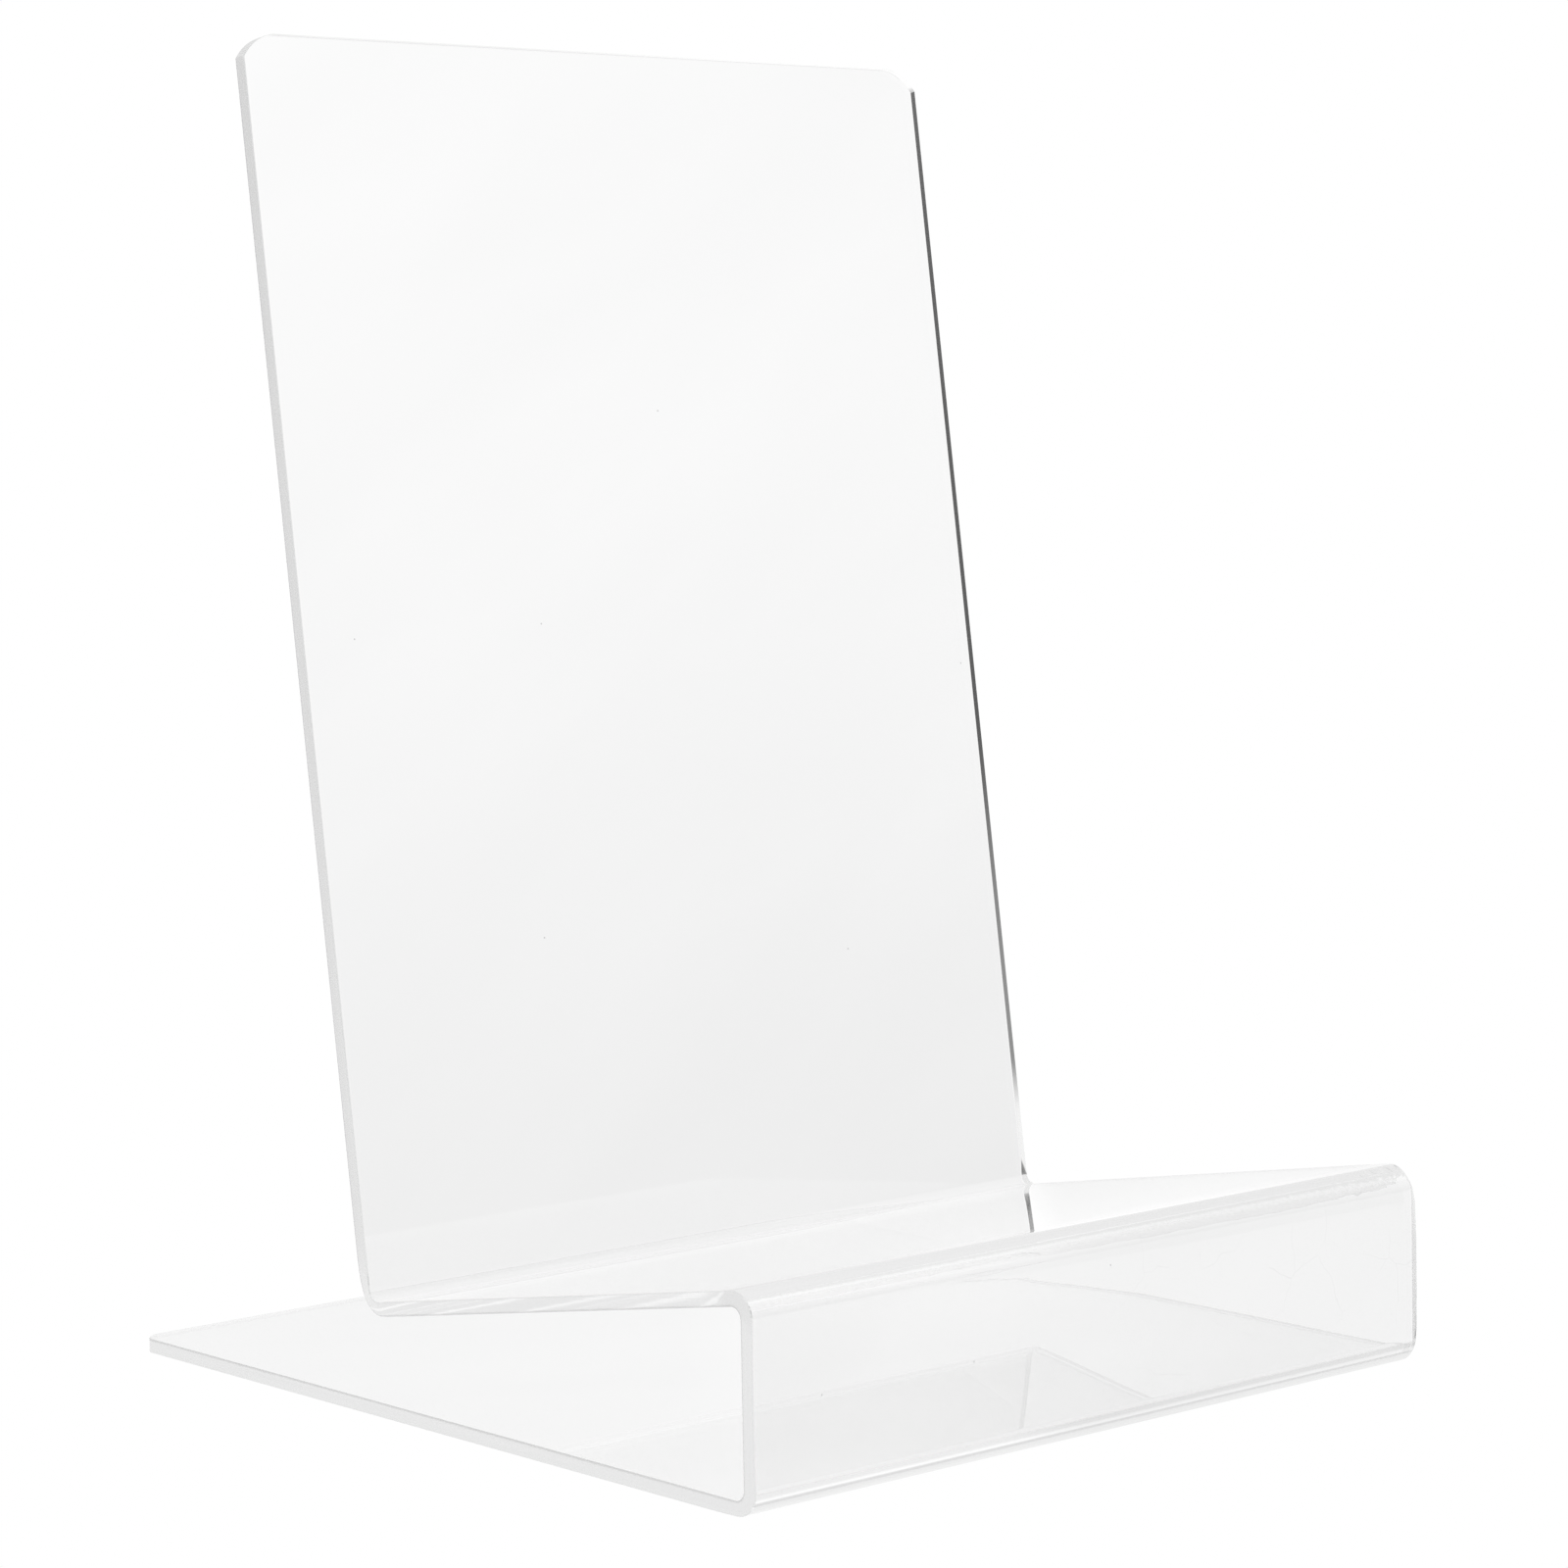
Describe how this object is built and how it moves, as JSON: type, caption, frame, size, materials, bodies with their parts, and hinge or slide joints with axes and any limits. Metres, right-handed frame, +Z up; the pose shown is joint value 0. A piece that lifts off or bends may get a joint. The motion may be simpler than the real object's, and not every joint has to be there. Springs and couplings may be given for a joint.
{
  "type": "book display stand",
  "caption": "Clear bent-acrylic stand that shows a book face-out: flat base, low riser, ledge sloping down to the rear and tall back panel leaning back.",
  "frame": {"origin": "on the table, at the centre of the stand's footprint", "axes": "+X across the width, +Y towards the rear (the way the back panel leans), +Z up"},
  "size_m": [0.2, 0.2068, 0.2933],
  "materials": {
    "clear_acrylic": "clear and glossy on both faces, satin on the sawn edges"
  },
  "bodies": {
    "root": {"bent_acrylic_sheet": "clear_acrylic"}
  },
  "joints": []
}
